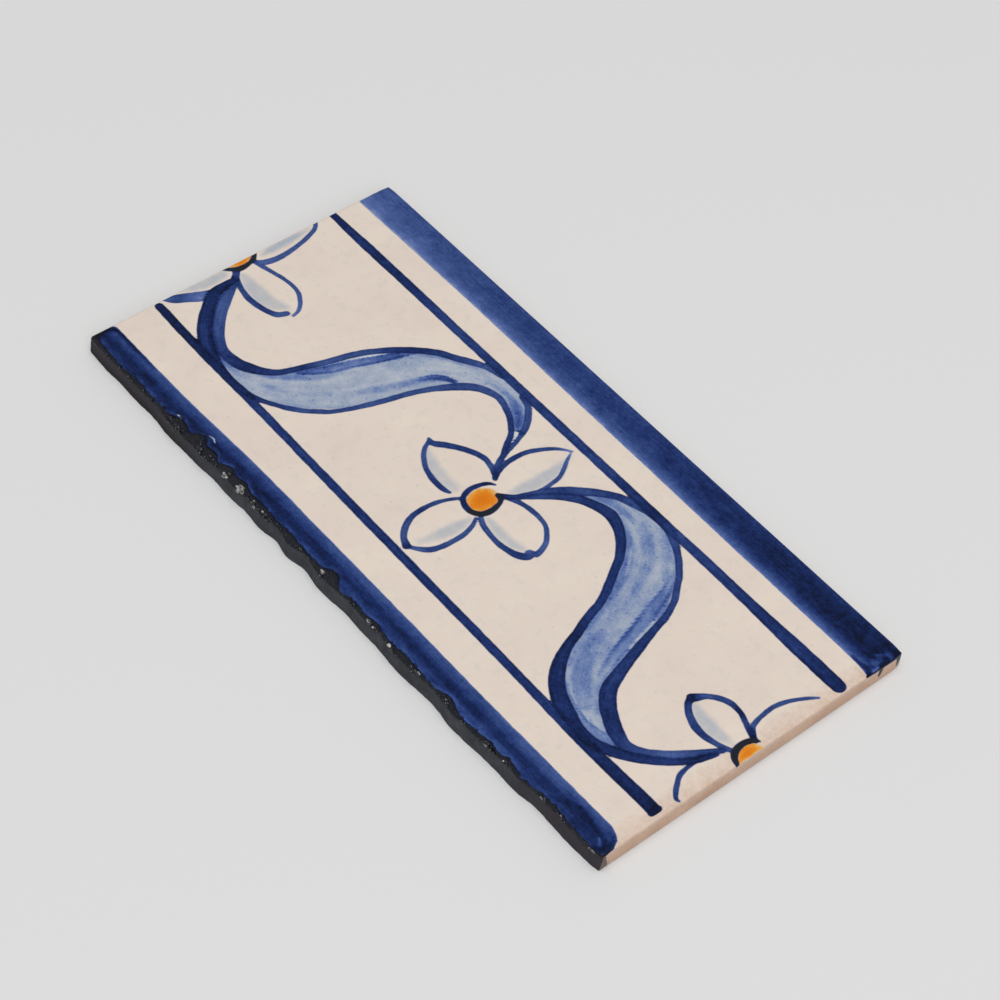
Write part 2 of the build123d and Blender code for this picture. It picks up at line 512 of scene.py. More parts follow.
wash.glaze_over(
    [(-32.2, 17, 1.8, 0.56), (-35.2, 14.4, 2.6, 0.5), (-37.6, 10.4, 3, 0.4), (-39.4, 5, 3.2, 0.34),
     (-41.4, 0, 3.2, 0.26), (-43.4, -4, 3, 0.12)],
    [(-46, 15.4, 2, 0.3), (-42.6, 18.6, 3, 0.38), (-38.6, 21.9, 3.4, 0.42), (-34, 24.2, 2.8, 0.34),
     (-29, 26.2, 2, 0.2)],
    [(-51.4, -4, 2.4, 0.16), (-53.6, -9, 3.6, 0.28), (-57, -13.4, 4.2, 0.38), (-60.2, -17.2, 4.2, 0.4),
     (-64, -20.8, 3.4, 0.36), (-68, -23.8, 2.6, 0.28)],
    [(-27, 24, 1.6, 0.16), (-21, 25.2, 2.2, 0.3), (-16, 24.2, 3.2, 0.44), (-12.2, 22.2, 3.6, 0.56),
     (-9.9, 20.2, 2.6, 0.56)],
    [(-49.6, 3, 3, 0.14), (-48.6, 10, 3, 0.2), (-44.4, 15.4, 3, 0.14)],
    [(-60, -22.4, 2, 0.12), (-53, -18.4, 2.4, 0.14), (-47.6, -11, 2.4, 0.12)],
    [(-75, -26.4, 2, 0.56), (-71.5, -26.1, 2.6, 0.46), (-68, -25.3, 2.6, 0.28), (-64.5, -24.2, 2, 0.1)],
    soft=1.1,
)
wash.wipe(
    [(-50.2, 9.2, 0.4, 0.7), (-52.4, 4.6, 0.7, 0.8), (-54, 0.4, 0.6, 0.7), (-55.2, -3.4, 0.3, 0.5)],
    [(-8.7, 18.9, 1.2, 0.95), (-8.2, 17.7, 1.2, 0.95), (-7.5, 16.2, 0.6, 0.95)],
)
ink.brush(
    [(-9.5, 19.2, 0.5, 0.78), (-8.7, 19.9, 1, 0.84), (-7.9, 19.6, 1, 0.82)],
    [(-82, -23, 0.8, 0.74), (-79, -24.7, 1.6, 0.78), (-76, -26, 1, 0.8)],
)
print("first ribbon:", len(first_ribbon), "outlines of", sum(map(len, first_ribbon)), "points")

# %% The second ribbon
second_ribbon = [
    [(5.6, 2.8, 1, 0.88), (7.5, 5.6, 1.3, 0.82), (9, 9.2, 1.5, 0.76), (10.6, 12.6, 1.9, 0.77),
     (12.8, 16, 2.4, 0.82), (15.4, 19.1, 2.6, 0.75), (18.6, 22.4, 2.4, 0.82), (21.9, 25.2, 2.2, 0.85),
     (26, 27.1, 2.5, 0.78), (31, 28.6, 2.4, 0.82), (37, 28.8, 2.4, 0.82), (41.4, 27.3, 2.1, 0.78),
     (45.1, 25.3, 1.7, 0.82), (47.9, 23.2, 1.7, 0.8), (50.5, 20.9, 1.7, 0.78), (53.1, 17.8, 1.7, 0.8),
     (55.4, 15, 1.7, 0.79), (57.8, 10.1, 1.8, 0.82), (59.2, 5, 1.9, 0.88), (60.6, 0, 2.5, 0.88),
     (62.1, -4.9, 2.8, 0.86), (63.8, -9.9, 3.2, 0.86), (65.8, -14.8, 3.9, 0.9), (69.1, -18.1, 4.2, 0.88),
     (72.3, -20, 4, 0.9), (76.2, -21.8, 3.9, 0.88), (80.4, -22.5, 3.2, 0.8), (84.3, -20.7, 2.8, 0.74),
     (87.8, -16.9, 2.4, 0.66), (90.6, -12.8, 2.1, 0.72), (93, -8.7, 1.6, 0.8), (94.9, -5.4, 1.6, 0.84)],
    [(8.3, 5.9, 0.9, 0.78), (10.8, 9.9, 1.7, 0.78), (13.6, 13.8, 2.2, 0.82), (17.1, 17.1, 2.6, 0.84),
     (21.2, 19.2, 2.8, 0.89), (25.6, 20.3, 3.3, 0.89), (29.4, 19.4, 3, 0.9), (32.4, 17.7, 2.7, 0.9),
     (34.9, 15.7, 2.5, 0.91), (37.4, 13.1, 2.3, 0.86), (39.5, 9.8, 2.2, 0.89), (42.8, 4.7, 2.3, 0.88),
     (45.2, 0, 2.1, 0.85), (46.8, -5.1, 2.3, 0.89), (48.8, -10, 2.4, 0.96), (50.7, -15.1, 2.7, 0.94),
     (53.6, -20, 3.6, 0.92), (57.2, -23.6, 4, 0.92), (61, -25.9, 4.2, 0.92), (65, -27, 4, 0.92),
     (70, -28, 3, 0.93), (75, -27.9, 2.9, 0.9), (79, -26.3, 3, 0.9), (82.8, -24.1, 2.6, 0.88),
     (86.8, -20.7, 2.3, 0.87), (90.4, -16.8, 1.9, 0.86), (92.8, -13, 1.7, 0.93), (94.1, -9.7, 1.5, 0.93),
     (94.9, -7.2, 1, 0.82)],
]
second_middle = [
    (8.4, 7, 2.4, 0.7), (11.8, 12.6, 5, 0.68), (15.4, 17.6, 6.4, 0.66), (20, 22.2, 7.6, 0.54),
    (25.6, 24.2, 9.6, 0.46), (32.4, 24, 11.6, 0.46), (38.8, 21, 13.6, 0.46), (44.4, 15.2, 15.6, 0.46),
    (48.8, 8, 17, 0.51), (52.4, 0, 17, 0.49), (55.2, -8, 17, 0.52), (59, -15.6, 16, 0.51),
    (64.6, -21.4, 14, 0.44), (71, -24, 11, 0.46), (77, -24.4, 9, 0.66), (82.6, -23, 7.4, 0.74),
    (88, -18.6, 6, 0.74), (91.6, -13.4, 5, 0.76), (94.8, -7.6, 3, 0.78),
]
new_coat = Coat()
new_coat.brush(second_middle, wet_edge=0.18)
new_coat.brush(
    [(50, 19.2, 1, 0.52), (52.2, 15, 2.2, 0.66), (54, 9.6, 3, 0.7), (55.9, 4.6, 3.2, 0.7),
     (57.4, 0, 3.4, 0.74), (58.6, -5, 2.8, 0.68), (60.2, -9.6, 2.4, 0.58), (62.2, -14, 1.6, 0.5)],
    [(58.4, -22.4, 1.2, 0.62), (62, -24.5, 1.8, 0.66), (66, -25.6, 2, 0.66), (70, -26, 2, 0.66),
     (74, -25.4, 2.4, 0.62), (78, -24.2, 2.8, 0.62), (81.6, -23, 2.6, 0.66)],
    wet_edge=0.2,
)
new_coat.depth = np.minimum(new_coat.depth, UNDER_OUTLINE + inside_outline(
    [p[:2] for p in second_ribbon[0]] + [p[:2] for p in second_ribbon[1][::-1]]
))
second = new_coat.depth > wash.depth
wash.depth[second] = new_coat.depth[second]
wash.density[second] = new_coat.density[second]
wash.flow[second] = new_coat.flow[second]
ink.brush(*second_ribbon, wet_edge=0.12, fuller=0.15)
wash.glaze_over(
    [(28, 21.6, 1.8, 0.2), (34, 18.8, 3, 0.3), (39.6, 13.4, 3.4, 0.32), (43.6, 7, 3.4, 0.26),
     (46.4, 0, 3, 0.26), (48.8, -7, 3, 0.24)],
    [(52.6, -6, 4, 0.18), (55.6, -13, 5, 0.3), (60.4, -18.8, 5, 0.3), (66, -22.6, 4, 0.26)],
    [(33, 24.6, 3, 0.16), (38.6, 21.4, 4, 0.26), (44, 16, 3.6, 0.24), (48, 9, 3.4, 0.12)],
    [(17, 19.4, 2, 0.3), (21, 22.4, 3, 0.44), (25, 23.6, 3, 0.4), (31, 23.6, 2.4, 0.2)],
    [(62, -9, 2, 0.1), (64.6, -16, 2.4, 0.26), (69.6, -21.4, 2.4, 0.26)],
    soft=1.1,
)
wash.wipe(
    [(57.2, 6.6, 0.5, 0.5), (58.6, 1.6, 0.7, 0.6), (59.7, -3, 0.6, 0.5)],
    [(36.8, 17.4, 0.3, 0.4), (40, 14, 0.4, 0.5), (42.4, 10.6, 0.3, 0.4)],
)
print("ribbons laid,", int((ink.depth > 0).sum()), "corners under dark cobalt")

# %% [markdown]
# ## The flowers
# Each flower has four petals drawn with a fine brush, in one or two strokes each, round an orange
# centre with a dark ring. The tile's short edges cut the two outer flowers in half.

# %% Petals, drawn with a fine brush
petal_strokes = [
    # the middle flower: top, right, bottom and left petals
    [(-0.7, 4.8, 0.9, 0.8), (-1.5, 6.6, 1.2, 0.82), (-2.4, 9.4, 1.3, 0.79), (-2.8, 13, 1.3, 0.86),
     (-2.3, 17, 1.3, 0.79), (-0.8, 20.4, 1.1, 0.78), (0.7, 22.9, 0.9, 0.81), (2.5, 24.8, 0.7, 0.58),
     (4.4, 26.3, 0.3, 0.46)],
    [(4.3, 25.9, 0.3, 0.42), (5.6, 23.5, 0.6, 0.66), (7.3, 21, 0.9, 0.67), (8.8, 18.2, 1, 0.74),
     (9.4, 15, 1, 0.7), (9.5, 12, 1, 0.68), (9, 9, 1, 0.66), (8.2, 6.6, 1, 0.72), (7, 4.6, 1.3, 0.78),
     (5.8, 3.3, 1.4, 0.84), (4.6, 2.2, 1.3, 0.94)],
    [(5.4, 2.8, 1.5, 0.84), (8, 4.2, 1.4, 0.76), (11.2, 5.2, 1.2, 0.8), (14.8, 5.6, 1.2, 0.76),
     (18.2, 5.3, 1.1, 0.74), (20.8, 3.9, 1.1, 0.72), (23.1, 1.7, 1.3, 0.66), (24.3, -0.9, 1.4, 0.7),
     (24.6, -2.6, 1.6, 0.76)],
    [(7, -5.7, 0.9, 0.62), (9.4, -7, 1.3, 0.74), (12.6, -7.6, 1.3, 0.74), (16.2, -7.8, 1.4, 0.76),
     (19.8, -7.2, 1.6, 0.84), (22.5, -6.1, 2, 0.84), (23.7, -4.7, 2.2, 0.8), (23.5, -3.7, 2.4, 0.68)],
    [(-0.4, -6.1, 0.9, 0.72), (-1.7, -8.4, 0.9, 0.84), (-2.8, -11.6, 1.1, 0.75), (-3.3, -15.4, 1.3, 0.87),
     (-3, -19.2, 1.4, 0.8), (-1.4, -22.6, 1.6, 0.76), (0.9, -25, 1.5, 0.68), (3.6, -26.2, 2, 0.9)],
    [(6.9, -7.2, 0.7, 0.74), (8.3, -9.6, 1, 0.7), (9.1, -12.8, 1.2, 0.74), (9.2, -16.2, 1.3, 0.72),
     (8.8, -19.8, 1.4, 0.76), (7.8, -22.6, 1.5, 0.76), (5.8, -24.7, 1.1, 0.66), (4.3, -25.8, 1.1, 0.72)],
    [(-0.8, 5, 0.8, 0.72), (-2, 5.8, 1.2, 0.76), (-4.2, 6.6, 1.3, 0.7), (-7.2, 6.9, 1.4, 0.8),
     (-10.7, 5.7, 1.6, 0.84), (-13.8, 3.8, 1.6, 0.84), (-16.5, 1.7, 1.7, 0.82), (-18.8, -0.4, 1.6, 0.8),
     (-20.6, -0.2, 0.6, 0.68)],
    [(-19.8, -0.7, 1, 0.74), (-18.6, -3, 1, 0.72), (-16.3, -5.2, 1.2, 0.72), (-13.2, -6.9, 1.2, 0.78),
     (-9.8, -7.7, 1.5, 0.82), (-6.4, -7.8, 1.4, 0.82), (-4.6, -7.5, 1.2, 0.76), (-3.5, -7.1, 0.7, 0.72)],
    # the far flower, cut by the tile's edge
    [(-97.4, 1.5, 1.2, 0.62), (-95, 2.1, 1.2, 0.7), (-91.4, 3.1, 1, 0.7), (-87.6, 4, 1, 0.73),
     (-84, 4.4, 1, 0.7), (-80.8, 3.9, 1, 0.69), (-78.1, 2.4, 1, 0.66), (-76, 0.4, 0.9, 0.6),
     (-75.1, -2, 0.7, 0.55)],
    [(-97, -4.8, 1.4, 0.56), (-94.2, -6.2, 1.4, 0.76), (-90.8, -7.2, 1.3, 0.78), (-87.2, -7.7, 1.5, 0.8),
     (-83.6, -7.3, 1.6, 0.8), (-80.2, -6.4, 1.5, 0.82), (-77.9, -5.1, 1.8, 0.7), (-76.8, -2.9, 1.5, 0.72)],
    [(-97.2, 1.6, 1, 0.52), (-95.6, 3.4, 1.9, 0.62), (-94.7, 7.4, 1.7, 0.7), (-95, 11.8, 1.4, 0.66),
     (-95.8, 16, 1.2, 0.69), (-96.9, 19.6, 1.2, 0.7), (-98.4, 22.5, 1, 0.68), (-101, 24.2, 1, 0.66)],
    [(-94.4, -13.2, 1.6, 0.58), (-95, -17.2, 3.4, 0.55), (-96.8, -20.5, 3.1, 0.68),
     (-98.1, -23.2, 2.9, 0.75), (-99.6, -25.3, 1.6, 0.68)],
    # the near flower, cut by the tile's other edge
    [(97.6, 2.6, 1.3, 0.76), (95.3, 3.1, 1.2, 0.88), (92.5, 4.2, 1.3, 0.8), (89.6, 5.2, 1.2, 0.97),
     (86.2, 5.2, 1.5, 0.82), (83.4, 4, 1.4, 0.8), (81.1, 1.8, 1.4, 0.7), (79.6, -0.8, 2.3, 0.92),
     (78.7, -1.2, 1, 0.76)],
    [(79.2, -1.2, 1.7, 0.92), (80.6, -3.3, 1.5, 0.84), (83.2, -5, 1.7, 0.78), (86.4, -6, 1.9, 0.8),
     (89.8, -6, 1.6, 0.82), (93, -5.2, 1.3, 0.76), (95.8, -4, 1.2, 0.72)],
    [(96.4, 2.9, 1.3, 0.96), (94.1, 4.9, 1.3, 0.72), (93.2, 8.8, 1, 0.76), (93, 12.8, 1, 0.74),
     (94, 16.7, 0.9, 0.76), (95.6, 20, 0.8, 0.74), (97.5, 23, 0.4, 0.6)],
    [(93.4, -11.8, 0.8, 0.8), (93.5, -15.4, 1, 0.78), (94.2, -18.2, 1.1, 0.78), (95.7, -20.3, 1.1, 0.78),
     (97.2, -22, 1, 0.8), (98.4, -22.9, 0.9, 0.82), (99.3, -22.8, 0.5, 0.76)],
]
ink.brush(*petal_strokes, wet_edge=0.08, fuller=0.25)
print(len(petal_strokes), "petal strokes")

# %% Petal shading and the orange centres
petal_shade = Coat()
petal_shade.glaze_over(
    [(5, 25, 1.6, 0.5), (6.2, 21, 3.6, 0.66), (6.8, 15, 5, 0.72), (6.5, 9, 4.6, 0.7), (5.6, 5, 3, 0.56)],
    [(8, 20, 2.2, 0.12), (9, 14, 2.8, 0.16), (8.2, 9, 2.4, 0.14)],
    [(9, -5, 3, 0.62), (14, -5.4, 4.2, 0.66), (19, -5, 3.8, 0.62), (22.4, -3.6, 2.4, 0.6)],
    [(6.2, -8.6, 2.8, 0.66), (6.2, -13, 4.6, 0.68), (5.6, -18, 4.4, 0.6), (4.4, -22.6, 2.8, 0.42)],
    [(-17.6, -3.2, 3.2, 0.6), (-14, -5, 5.2, 0.62), (-9, -5.8, 5.4, 0.56), (-4, -5.2, 4.4, 0.44)],
    [(-94.5, -4, 3.6, 0.62), (-89, -4.6, 5.8, 0.66), (-83, -4.2, 5.8, 0.64), (-78.8, -2, 3.6, 0.6)],
    [(-98.6, 21, 1.6, 0.9), (-98.6, 15, 3.4, 0.95), (-98.4, 9, 3.8, 0.92), (-98.2, 4.6, 2.4, 0.7)],
    [(-98.2, -8, 3.8, 0.7), (-98, -12.5, 4.6, 0.72), (-98.6, -17, 3.8, 0.68), (-99.4, -20.4, 1.8, 0.5)],
    [(81.4, -2, 3.2, 0.64), (86, -3.2, 5, 0.68), (91, -3.2, 4.8, 0.64), (94.6, -2.4, 2.8, 0.5)],
    soft=1.7,
)


def disc_depth(x, y, radius_x, radius_y):
    """How far inside an oval each corner of the grid is, in mm."""
    reach = np.hypot((px - x) / radius_x, (py - y) / radius_y)
    return (1 - reach) * min(radius_x, radius_y)


yolk_depth = np.maximum.reduce([
    disc_depth(3.4, -2.2, 4, 4.8),
    np.minimum(disc_depth(-101, -1.2, 3.6, 4.8), 3 * (px + 100.1)),
    np.minimum(disc_depth(101, -1.1, 5, 4.3), 3 * (100.1 - px)),
])
ring = Coat()
centre_rings = [
    [(4.3, 2, 1.5, 0.95), (6, 1.5, 1.2, 0.94), (6.9, -0.4, 1.4, 0.92), (7.2, -2.8, 1.8, 0.9),
     (6.7, -5, 1.6, 0.92), (5.3, -6.3, 1.6, 0.92), (4, -6.9, 1.4, 0.92)],
    [(1.4, 3.6, 0.4, 0.8), (0, 2.5, 1.1, 0.96), (-1, 0.2, 1.3, 0.88), (-1.3, -2.5, 1.5, 0.88),
     (-0.6, -4.9, 1.5, 0.9), (0.7, -6.2, 1.5, 0.88), (2.3, -6.8, 1.6, 0.88), (3.8, -6.9, 1.6, 0.92),
     (5.1, -6.6, 1.3, 0.92)],
    [(-99.8, 3.4, 1.1, 0.93), (-98.3, 1.9, 1.4, 0.92), (-97.5, -0.4, 1.4, 0.94), (-97.4, -3, 1.9, 0.93),
     (-98.5, -5.1, 1.4, 0.84), (-99.8, -6.8, 1, 0.82)],
    [(98.2, 3.3, 0.7, 0.88), (97, 2, 1.4, 0.97), (96.3, -0.2, 1.6, 0.97), (96.6, -2.5, 1.8, 0.93),
     (97.7, -4.3, 1.8, 0.94), (99, -5.1, 1.4, 0.93), (100, -5.3, 1, 0.93)],
]
ink.brush(*centre_rings, wet_edge=0, fuller=0.1)
ring.brush(centre_rings[0], *centre_rings[2:], wet_edge=0)
print("flowers laid,", int((yolk_depth > 0).sum()), "corners under orange")

# %% [markdown]
# ## Lines and bands
# Two lines frame the scroll, each drawn in one pull of a round brush, so they swell where the
# painter pressed. Outside them lie two broad bands with straight inner edges, and the colour pools
# towards the tile's own edges.

# %% The two framing lines
ink.brush([
    (-101, 29.25, 2.3, 0.94), (-97, 29.25, 2.3, 0.94), (-92, 29.2, 2.6, 0.89), (-84, 29.25, 2.9, 0.88),
    (-70, 29.3, 2.8, 0.92), (-52, 29.25, 2.7, 0.81), (-37, 29.25, 2.7, 0.82), (-34, 29.25, 2.7, 0.84),
    (-15, 29.2, 2.75, 0.84), (10, 29.2, 2.8, 0.83), (30, 29.2, 2.8, 0.9), (40, 29.2, 2.8, 0.79),
    (50, 29.25, 2.9, 0.81), (64, 29.15, 3, 0.86), (73, 29.05, 3.4, 0.88), (82, 29, 4, 0.86),
    (92, 29, 4.1, 0.91), (97.8, 29, 4, 0.93),
])
ink.brush([
    (-98.5, -28.1, 2.4, 0.96), (-94, -28.2, 2.6, 0.97), (-86, -28.45, 2.6, 0.96), (-70, -28.65, 2.5, 0.92),
    (-54, -28.55, 2.5, 0.85), (-40, -28.7, 2.4, 0.85), (-20, -28.95, 2.5, 0.86), (0, -29.1, 2.5, 0.88),
    (20, -29.2, 2.5, 0.88), (40, -29.3, 2.5, 0.88), (52, -29.45, 2.5, 0.88), (64, -29.6, 2.8, 0.87),
    (76, -29.5, 3.2, 0.92), (86, -29.2, 3.5, 0.94), (93, -29, 3.6, 0.94), (97, -28.95, 3.6, 0.96),
])
ink.brush([(97.9, -27.9, 1.9, 0.96), (97.9, -30, 1.9, 0.96)])
print("framing lines laid,", int((ink.depth > 0).sum()), "corners under dark cobalt")

# %% The two broad bands
def band_depth(inner_edge, outward, far_x, near_x, corner):
    """How far inside a band each corner of the grid is. inner_edge is its line as (x, y) points."""
    xs, ys = np.array(inner_edge).T
    from_inner = (py - np.interp(px, xs, ys)) * outward
    from_ends = np.minimum(px - far_x, near_x - px)
    a, b = np.maximum(corner - from_inner, 0), np.maximum(corner - from_ends, 0)
    return np.where(
        (a > 0) & (b > 0), corner - np.hypot(a, b), np.minimum(from_inner, from_ends)
    ), from_inner


def graded(from_inner, stops):
    """The density across a band, from its inner edge outwards."""
    places, values = np.array(stops).T
    return np.interp(from_inner, places, values)


def ragged_all(size, seed, squeeze=1):
    """Uneven noise at every corner of the grid, squeezed across the tile."""
    return np.array([ragged(x, squeeze * y, size, seed) for x, y in zip(px, py)])


clean_inner = [
    (-101, 38.1), (-80, 38.3), (-50, 38.4), (0, 38), (50, 37.55), (90, 37.4), (96, 37.2), (101, 36.4)
]
clean_depth, clean_in = band_depth(clean_inner, outward=1, far_x=-99.6, near_x=100.5, corner=0.3)
pale = graded(clean_in, [
    (0, 0.3), (0.5, 0.43), (1.4, 0.5), (2.4, 0.56), (3.7, 0.57), (5.7, 0.62), (7.7, 0.65), (10.2, 0.65)
])
deep = graded(clean_in, [
    (0, 0.46), (0.5, 0.56), (1.2, 0.7), (1.9, 0.78), (2.7, 0.87), (3.7, 0.94), (5.7, 0.985), (7.7, 0.97),
    (9.2, 0.93), (10.4, 0.86)
])
towards_near = np.interp(px, [-100, -60, -20, 20, 60, 95], [0, 0.26, 0.42, 0.58, 0.86, 1])
clean_density = pale + (deep - pale) * towards_near
clean_density += ease(-px, 93, 99) * np.interp(clean_in, [0, 2, 6, 9.5], [0.1, -0.02, -0.01, 0.03])
blotch = ragged_all(2.2, 4)
grain_mm = ragged_all(1.6, 21)
near_patch = ease(px, 94, 97) * ease(48.6 - py, 0, 2.5)
clean_density += near_patch * np.clip(0.02 - 0.24 * blotch - 0.16 * grain_mm, -0.2, 0.12)
cloud = ragged_all(5, 33)
clean_density += 0.05 * cloud + ease(px, 85, 96) * ease(clean_in, 8.2, 9.8) * 0.08
CLEAN_END = 49.4          # where the glaze stops beyond the clean side, on the unrolled sheet
over_clean = py - CLEAN_END + 0.25 * cloud
clean_depth = np.minimum(clean_depth, -over_clean - 0.2)

snapped_inner = [
    (-101, -41.1), (-90, -41.2), (-70, -41.2), (-60, -40.9), (-50, -40.5), (-40, -40.1), (-25, -39.95),
    (20, -39.85), (50, -39.9), (80, -39.6), (95.5, -39.4), (97.6, -40.1), (98.9, -41), (99.6, -42.4)
]
broken_depth, broken_in = band_depth(snapped_inner, outward=-1, far_x=-99.8, near_x=100.6, corner=1.6)
TIP_X, TIP_Y = 99.95, -41.35     # from here the band's near end slants out to the snapped corner
near_limit = TIP_X - 0.07 * (py - TIP_Y)
broken_depth = np.where(py < TIP_Y, np.minimum(broken_depth, near_limit - px), broken_depth)
lip_here = np.interp(px, stations, [lip_y(x) for x in stations]) - (CLEAN_Y - PATTERN_MIDDLE)
lip_gap = py - lip_here
broken_density = graded(broken_in, [
    (0, 0.6), (0.5, 0.68), (1.6, 0.74), (2.5, 0.8), (3.5, 0.915), (4.6, 0.915), (5.6, 0.86)
])
broken_density += np.interp(
    px, [-100, -80, -60, -20, 10, 30, 50, 66, 80], [0, 0.02, 0.03, 0.01, -0.02, 0, 0.01, -0.04, -0.03]
)
# painted light: between x 45 and 74 the band turns lighter towards the lip, where the melted glaze catches
# the light
painted_lip_light = np.interp(px, [-100, 0, 45, 55, 66, 74], [0, 0.02, 0.08, 0.12, 0.1, 0])
broken_density -= painted_lip_light * ease(broken_in, 4.4, 6.2)
# painted glints: within 1.6 mm of the lip the band turns lighter in patches
shine = ragged_all(3.4, 12, squeeze=2.5)
broken_density += 0.03 * cloud - ease(1.6 - lip_gap, 0, 1) * np.clip(0.01 + 0.16 * shine, -0.08, 0.16)
second_coat = ease(px + 2 * blotch - 0.9 * (broken_in - 3.5), 83, 84.6)
end_strokes = ease(px, 86.5, 88.5) * ease(broken_in, 0.2, 0.8)
second_coat *= np.maximum(ease(broken_in, 1, 1.9), end_strokes)
broken_density += second_coat * np.interp(broken_in, [0, 1.2, 2.2, 4], [0.06, 0.06, 0.07, 0.04])
broken_density += 0.08 * ease(px, 93, 97) * ease(2.4 - broken_in, 0, 1.6)
# painted highlight: how strongly a lighter blue line shows along the broken lip, at each place along the
# tile
painted_rim_light = np.interp(
    px, [-100, -70, -20, 0, 50, 70, 82, 88], [0.04, 0.04, 0.06, 0.14, 0.22, 0.14, 0.06, 0]
)

BAND_BRISTLES = 50      # any number that no stroke has, so that the bands get bristles of their own
for depth, density, across in (
    (clean_depth, clean_density, clean_in), (broken_depth, broken_density, broken_in)
):
    over = depth > ink.depth
    ink.flow[over, 0] = px[over]
    ink.flow[over, 1] = across[over]
    ink.flow[over, 2] = BAND_BRISTLES
    ink.depth = np.maximum(ink.depth, depth)
    ink.density = np.maximum(ink.density, np.clip(density, 0, 1) * ease(depth, -0.7, 0.1))
print("bands laid,", round(float((ink.depth > 0).mean()) * 100), "% of the corners under dark cobalt")

ink.brush(
    [(-98.9, -47.4, 1.2, 0.95), (-99, -43.6, 1.2, 0.96), (-98.2, -42.1, 1.1, 0.96), (-95, -41.75, 1, 0.94),
     (-88, -41.7, 0.9, 0.9), (-81, -41.6, 0.5, 0.82)],
    [(82.9, -45, 0.4, 0.88), (83.2, -43.6, 0.7, 0.9), (86.1, -42.1, 0.9, 0.93), (90.4, -42.2, 0.9, 0.94),
     (94.4, -42.9, 0.6, 0.9)],
    [(97.4, -41.2, 0.6, 0.86), (98.7, -42.2, 1, 0.92), (98.8, -44.4, 1.5, 0.95), (97.4, -46.2, 1.4, 0.95)],
    [(93.4, 37.9, 0.5, 0.82), (95.6, 37.8, 0.9, 0.86), (98.2, 38.1, 1.5, 0.9), (99.8, 37.2, 1, 0.95)],
    [(99.9, 36.6, 0.8, 0.98), (100.3, 39, 0.7, 0.98), (100.4, 43, 0.7, 0.98), (100.4, 47, 0.9, 0.98)],
    wet_edge=0,
)
ink.wipe(
    [(99, 40.9, 1.4, 0.26), (97.8, 40.6, 1.8, 0.26), (96.6, 40.2, 1, 0.12)],
    [(97.2, 43, 1.2, 0.14), (98.4, 42.2, 1.4, 0.18)],
    [(99.7, 40.6, 0.5, 0.3), (99.7, 38.8, 0.6, 0.34)],
    # painted highlight: a faint lighter streak in the band near the snapped corner
    [(95.8, -43.8, 0.5, 0.3), (96.7, -44.4, 0.7, 0.36), (97.4, -45.1, 0.5, 0.3)],
)

# %% [markdown]
# ## Where the glaze is thin, and the edge it ran over
# At the near short side the glaze thins out and the pink clay shows through it, until the side
# itself is bare. At the hidden sides the glaze ran a little further down before it stopped.

# %% Bare clay, and cobalt that ran over the edge
drips = [
    [(99.8, 41.6, 1.4, 0.96), (100.7, 41.5, 1.6, 0.98), (101.8, 41.3, 1.4, 0.98), (103, 41.1, 0.9, 0.98)],
    [(99.4, 47.6, 2, 0.98), (100.4, 48.4, 2.6, 0.98), (101.4, 49.3, 3, 0.98), (102.6, 50, 2.6, 0.98),
     (104, 50.4, 1, 0.98)],
]
ink.brush(*drips, wet_edge=0)

soot_strokes = [
    [(-99.9, -42.2, 0.7, 1), (-99.8, -44.4, 1.5, 1), (-99.7, -46.4, 2.6, 1), (-98.4, -48.2, 3.4, 1),
     (-95.4, -49.2, 3, 1), (-91, -49.4, 2.6, 1), (-86, -49.2, 2, 1), (-80, -48.6, 1.2, 1)],
    [(99.6, -43.6, 0.6, 1), (99.9, -46.6, 1.4, 1), (97.6, -47.8, 1.6, 1), (93, -47.6, 1.5, 1),
     (88, -47.4, 1.3, 1), (84.6, -46.8, 1.4, 1), (82.4, -46.6, 0.8, 1)],
    [(100.6, 41.6, 0.5, 1), (101.6, 41.4, 1.1, 1), (102.6, 41.2, 0.9, 1), (103.4, 41, 0.4, 1)],
    [(100.4, 48.2, 0.5, 1), (101.4, 49, 1.2, 1), (102.6, 49.4, 1.6, 1), (104, 49.4, 0.8, 1)],
    [(100.7, -46.2, 0.6, 1), (101.2, -47.2, 1.6, 1), (102.3, -48.6, 1.9, 1), (103.3, -49.6, 1.6, 1),
     (104.4, -50.8, 1, 1)],
]
NEAR_THIN, FAR_END = 94.5, -100.4   # the glaze thins out from here, and stops beyond the far side here
past_near = px - NEAR_THIN
bare = np.interp(past_near, [0, 1, 2.5, 4.5, 5.4, 6.4, 7.6, 8.8, 9.8],
                 [0, 0.26, 0.34, 0.46, 0.54, 0.64, 0.78, 0.9, 1])
bare = np.clip(bare + 0.12 * grain_mm * (bare > 0.02), 0, 1)
over_far = FAR_END - px + 0.7 * grain_mm
bare = np.maximum(bare, np.maximum(ease(over_far, 0, 1.2), ease(over_clean, 0, 1.2)))
bare[below > TOP - 0.05] = 1

soot_film = Coat()
soot_film.brush(*soot_strokes, wet_edge=0)
